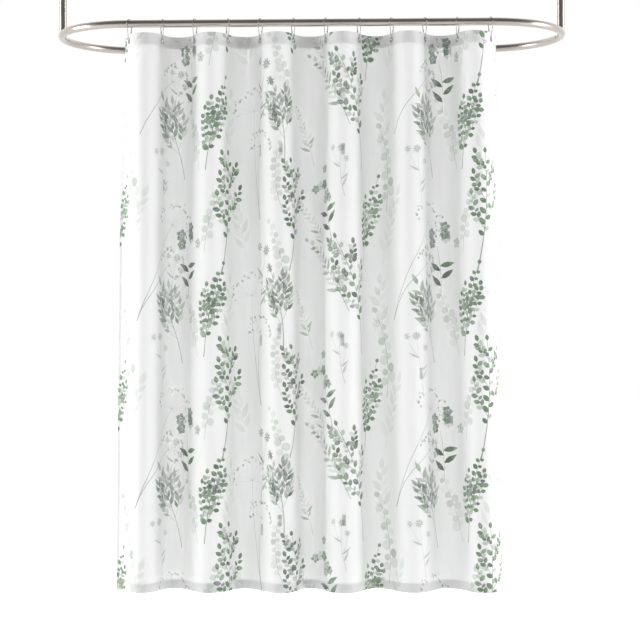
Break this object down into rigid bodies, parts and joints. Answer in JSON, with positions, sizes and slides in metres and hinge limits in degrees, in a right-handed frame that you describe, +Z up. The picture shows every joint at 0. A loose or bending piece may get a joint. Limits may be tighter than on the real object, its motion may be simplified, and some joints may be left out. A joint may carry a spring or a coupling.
{
  "type": "shower curtain",
  "caption": "Printed cloth shower curtain that hangs in even folds from wire hooks on an oval, ceiling-mounted tube rail.",
  "frame": {"origin": "middle of the left flange's top face, where it meets the ceiling", "axes": "+Z up, +X along the rail from the left post to the right post, +Y to the rear, away from the room"},
  "size_m": [1.784, 0.5909, 2.2269],
  "materials": {
    "brushed_nickel": "brushed nickel on steel tube, satin",
    "dark_steel": "dark plated steel screws",
    "polished_wire": "bright plated wire",
    "eyelet_metal": "bright plated pressed metal",
    "printed_polyester": null
  },
  "bodies": {
    "rail": {"rail_front_half": "brushed_nickel", "rail_rear_half": "brushed_nickel", "rail_connector_left": "brushed_nickel", "set_screw_left": "dark_steel", "ceiling_post_left": "brushed_nickel", "post_insert_left": "brushed_nickel", "ceiling_flange_left": "brushed_nickel", "flange_screw_left_1": "dark_steel", "flange_screw_left_2": "dark_steel", "flange_screw_left_3": "dark_steel", "rail_connector_right": "brushed_nickel", "set_screw_right": "dark_steel", "ceiling_post_right": "brushed_nickel", "post_insert_right": "brushed_nickel", "ceiling_flange_right": "brushed_nickel", "flange_screw_right_1": "dark_steel", "flange_screw_right_2": "dark_steel", "flange_screw_right_3": "dark_steel"},
    "curtain": {"curtain_panel": "printed_polyester", "top_hem": "printed_polyester", "bottom_hem": "printed_polyester", "side_hem_left": "printed_polyester", "side_hem_right": "printed_polyester"},
    "hook_01": {"hook_01": "polished_wire", "eyelet_01": "eyelet_metal", "eyelet_washer_01": "eyelet_metal"},
    "hook_02": {"hook_02": "polished_wire", "eyelet_02": "eyelet_metal", "eyelet_washer_02": "eyelet_metal"},
    "hook_03": {"hook_03": "polished_wire", "eyelet_03": "eyelet_metal", "eyelet_washer_03": "eyelet_metal"},
    "hook_04": {"hook_04": "polished_wire", "eyelet_04": "eyelet_metal", "eyelet_washer_04": "eyelet_metal"},
    "hook_05": {"hook_05": "polished_wire", "eyelet_05": "eyelet_metal", "eyelet_washer_05": "eyelet_metal"},
    "hook_06": {"hook_06": "polished_wire", "eyelet_06": "eyelet_metal", "eyelet_washer_06": "eyelet_metal"},
    "hook_07": {"hook_07": "polished_wire", "eyelet_07": "eyelet_metal", "eyelet_washer_07": "eyelet_metal"},
    "hook_08": {"hook_08": "polished_wire", "eyelet_08": "eyelet_metal", "eyelet_washer_08": "eyelet_metal"},
    "hook_09": {"hook_09": "polished_wire", "eyelet_09": "eyelet_metal", "eyelet_washer_09": "eyelet_metal"},
    "hook_10": {"hook_10": "polished_wire", "eyelet_10": "eyelet_metal", "eyelet_washer_10": "eyelet_metal"},
    "hook_11": {"hook_11": "polished_wire", "eyelet_11": "eyelet_metal", "eyelet_washer_11": "eyelet_metal"},
    "hook_12": {"hook_12": "polished_wire", "eyelet_12": "eyelet_metal", "eyelet_washer_12": "eyelet_metal"}
  },
  "joints": [
    {"name": "curtain_swing", "type": "hinge", "parent": "rail", "child": "curtain", "pos_m": [0.86, -0.263, -0.36], "axis": [1, 0, 0], "range_deg": [-20, 20]},
    {"name": "hook_01_glide", "type": "slide", "parent": "curtain", "child": "hook_01", "axis": [1, 0, 0], "range_m": [-0.0138, 0]},
    {"name": "hook_02_glide", "type": "slide", "parent": "curtain", "child": "hook_02", "axis": [1, 0, 0], "range_m": [-0.0894, 0]},
    {"name": "hook_03_glide", "type": "slide", "parent": "curtain", "child": "hook_03", "axis": [1, 0, 0], "range_m": [-0.165, 0]},
    {"name": "hook_04_glide", "type": "slide", "parent": "curtain", "child": "hook_04", "axis": [1, 0, 0], "range_m": [-0.2406, 0]},
    {"name": "hook_05_glide", "type": "slide", "parent": "curtain", "child": "hook_05", "axis": [1, 0, 0], "range_m": [-0.3162, 0]},
    {"name": "hook_06_glide", "type": "slide", "parent": "curtain", "child": "hook_06", "axis": [1, 0, 0], "range_m": [-0.3918, 0]},
    {"name": "hook_07_glide", "type": "slide", "parent": "curtain", "child": "hook_07", "axis": [1, 0, 0], "range_m": [-0.4674, 0]},
    {"name": "hook_08_glide", "type": "slide", "parent": "curtain", "child": "hook_08", "axis": [1, 0, 0], "range_m": [-0.543, 0]},
    {"name": "hook_09_glide", "type": "slide", "parent": "curtain", "child": "hook_09", "axis": [1, 0, 0], "range_m": [-0.6186, 0]},
    {"name": "hook_10_glide", "type": "slide", "parent": "curtain", "child": "hook_10", "axis": [1, 0, 0], "range_m": [-0.6942, 0]},
    {"name": "hook_11_glide", "type": "slide", "parent": "curtain", "child": "hook_11", "axis": [1, 0, 0], "range_m": [-0.7698, 0]},
    {"name": "hook_12_glide", "type": "slide", "parent": "curtain", "child": "hook_12", "axis": [1, 0, 0], "range_m": [-0.8449, 0], "deforming": ["curtain_panel", "top_hem", "bottom_hem", "side_hem_left", "side_hem_right"]}
  ],
  "couplings": [
    {"joint": "hook_01_glide", "follows": "hook_12_glide", "ratio": 0.015742},
    {"joint": "hook_02_glide", "follows": "hook_12_glide", "ratio": 0.10522},
    {"joint": "hook_03_glide", "follows": "hook_12_glide", "ratio": 0.1947},
    {"joint": "hook_04_glide", "follows": "hook_12_glide", "ratio": 0.28418},
    {"joint": "hook_05_glide", "follows": "hook_12_glide", "ratio": 0.37365},
    {"joint": "hook_06_glide", "follows": "hook_12_glide", "ratio": 0.46313},
    {"joint": "hook_07_glide", "follows": "hook_12_glide", "ratio": 0.55261},
    {"joint": "hook_08_glide", "follows": "hook_12_glide", "ratio": 0.64209},
    {"joint": "hook_09_glide", "follows": "hook_12_glide", "ratio": 0.73157},
    {"joint": "hook_10_glide", "follows": "hook_12_glide", "ratio": 0.82104},
    {"joint": "hook_11_glide", "follows": "hook_12_glide", "ratio": 0.91052}
  ]
}
